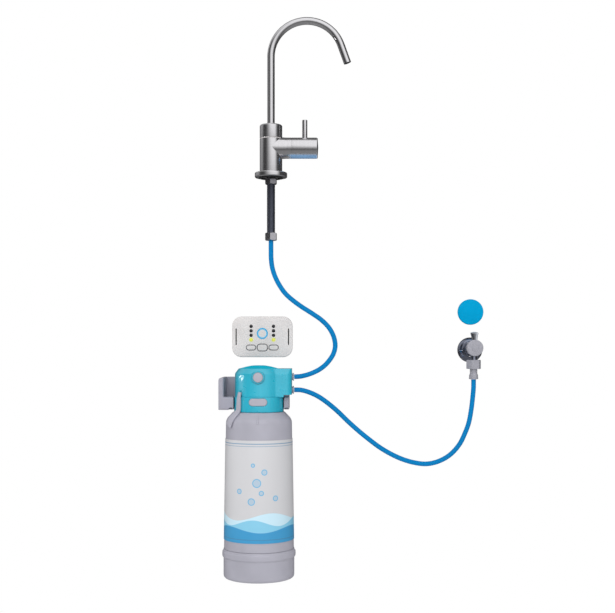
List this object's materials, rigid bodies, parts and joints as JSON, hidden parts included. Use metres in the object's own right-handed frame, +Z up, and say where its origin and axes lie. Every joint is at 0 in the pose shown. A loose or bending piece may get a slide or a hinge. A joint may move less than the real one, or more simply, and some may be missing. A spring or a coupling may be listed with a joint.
{
  "type": "under-sink water filter",
  "caption": "Under-sink water filter hanging in its wall bracket, piped to a gooseneck faucet and to a wall angle valve, with a wall indicator panel and a round marker.",
  "frame": {"origin": "On the back face of the wall bracket, in the filter's plane, level with the top of the locking collar.", "axes": "+X to the right seen from the front, +Y into the wall, +Z up, which is the longest way."},
  "size_m": [0.3617, 0.1088, 0.7459],
  "materials": {
    "turquoise_plastic": "smooth moulded gloss",
    "grey_plastic": "fine satin moulding",
    "pale_plastic": "fine satin moulding",
    "dark_plastic": "moulded",
    "label_film": "printed film",
    "steel": "brushed along its length",
    "dark_steel": "dark plated",
    "zinc": "satin plated",
    "brass": "turned",
    "rubber": "moulded",
    "carbon": "pressed granules",
    "fleece": "spun fleece",
    "tube_blue": "clear tinted tube",
    "marker_blue": "moulded",
    "board": "lacquered board",
    "lens": "clear tinted",
    "ring_light": "clear tinted"
  },
  "bodies": {
    "fixed_parts": {"wall_bracket": "grey_plastic", "wall_screw_left": "zinc", "wall_screw_right": "zinc", "head_screw": "zinc", "head_housing": "turquoise_plastic", "lever_pin": "steel", "bleed_spring": "zinc", "upper_tube_end": "tube_blue", "lower_tube_end": "tube_blue", "faucet_tube": "tube_blue", "supply_tube": "tube_blue", "faucet_body": "steel", "base_flange": "steel", "flange_gasket": "rubber", "deck_nut": "zinc", "shank": "dark_steel", "shank_nut": "zinc", "faucet_tube_end": "tube_blue", "ceramic_cartridge": "brass", "escutcheon": "dark_steel", "valve_body": "dark_steel", "adaptor_body": "zinc", "adaptor_nut": "zinc", "valve_tube_end": "tube_blue", "panel_back": "pale_plastic", "panel_front": "pale_plastic", "circuit_board": "board", "led_lenses": "lens", "ring_light": "ring_light", "marker_disc": "marker_blue"},
    "bleed_button": {"bleed_button": "grey_plastic"},
    "upper_collet": {"upper_collet": "grey_plastic"},
    "lower_collet": {"lower_collet": "grey_plastic"},
    "adaptor_collet": {"adaptor_collet": "grey_plastic"},
    "grip_lever": {"grip_lever": "grey_plastic"},
    "locking_collar": {"locking_collar": "turquoise_plastic"},
    "latch_button": {"latch_button": "grey_plastic"},
    "cartridge": {"cartridge_shell": "grey_plastic", "base_cup": "grey_plastic", "label_sleeve": "label_film", "cartridge_spigot": "grey_plastic", "upper_neck_seal": "rubber", "lower_neck_seal": "rubber", "block_top_cap": "pale_plastic", "carbon_block": "carbon", "sediment_wrap": "fleece", "block_bottom_cap": "pale_plastic"},
    "spout": {"swivel_ring": "steel", "spout": "steel", "spout_bush": "pale_plastic", "aerator": "dark_plastic"},
    "faucet_handle": {"valve_stem": "brass", "handle_sleeve": "steel", "handle_pin": "steel", "handle_cap": "dark_steel"},
    "valve_handle": {"valve_handle": "zinc", "handle_screw": "zinc"},
    "button_left": {"button_left": "pale_plastic"},
    "button_middle": {"button_middle": "pale_plastic"},
    "button_right": {"button_right": "pale_plastic"}
  },
  "joints": [
    {"name": "spout_swivel", "type": "hinge", "parent": "fixed_parts", "child": "spout", "pos_m": [0.016, -0.06, 0.36], "axis": [0, 0, 1], "continuous": true},
    {"name": "faucet_handle_turn", "type": "hinge", "parent": "fixed_parts", "child": "faucet_handle", "pos_m": [0.061, -0.06, 0.329], "axis": [1, 0, 0], "range_deg": [0, 90]},
    {"name": "bleed_press", "type": "slide", "parent": "fixed_parts", "child": "bleed_button", "axis": [0, 1, 0], "range_m": [0, 0.0025], "stiffness_N_per_m": 400, "springref_m": -0.0005, "deforming": ["bleed_spring"]},
    {"name": "collar_twist", "type": "hinge", "parent": "fixed_parts", "child": "locking_collar", "pos_m": [0, -0.06, -0.012], "axis": [0, 0, 1], "range_deg": [0, 40]},
    {"name": "latch_press", "type": "slide", "parent": "locking_collar", "child": "latch_button", "axis": [0, 1, 0], "range_m": [0, 0.002], "stiffness_N_per_m": 500, "springref_m": -0.0005},
    {"name": "lever_flip", "type": "hinge", "parent": "fixed_parts", "child": "grip_lever", "pos_m": [-0.02019, -0.08165, 0.007], "axis": [-0.7314, 0.682, 0], "range_deg": [0, 75]},
    {"name": "cartridge_drop", "type": "slide", "parent": "fixed_parts", "child": "cartridge", "axis": [0, 0, -1], "range_m": [0, 0.06]},
    {"name": "upper_collet_press", "type": "slide", "parent": "fixed_parts", "child": "upper_collet", "axis": [-1, 0, 0], "range_m": [0, 0.0011]},
    {"name": "lower_collet_press", "type": "slide", "parent": "fixed_parts", "child": "lower_collet", "axis": [-1, 0, 0], "range_m": [0, 0.0011]},
    {"name": "adaptor_collet_press", "type": "slide", "parent": "fixed_parts", "child": "adaptor_collet", "axis": [0, 0, 1], "range_m": [0, 0.0009]},
    {"name": "valve_turn", "type": "hinge", "parent": "fixed_parts", "child": "valve_handle", "pos_m": [0.2888, -0.05, 0.0615], "axis": [0, 1, 0], "range_deg": [0, 90]},
    {"name": "button_left_press", "type": "slide", "parent": "fixed_parts", "child": "button_left", "axis": [0, 1, 0], "range_m": [0, 0.0006], "stiffness_N_per_m": 800, "springref_m": -0.0002},
    {"name": "button_middle_press", "type": "slide", "parent": "fixed_parts", "child": "button_middle", "axis": [0, 1, 0], "range_m": [0, 0.0006], "stiffness_N_per_m": 800, "springref_m": -0.0002},
    {"name": "button_right_press", "type": "slide", "parent": "fixed_parts", "child": "button_right", "axis": [0, 1, 0], "range_m": [0, 0.0006], "stiffness_N_per_m": 800, "springref_m": -0.0002}
  ]
}
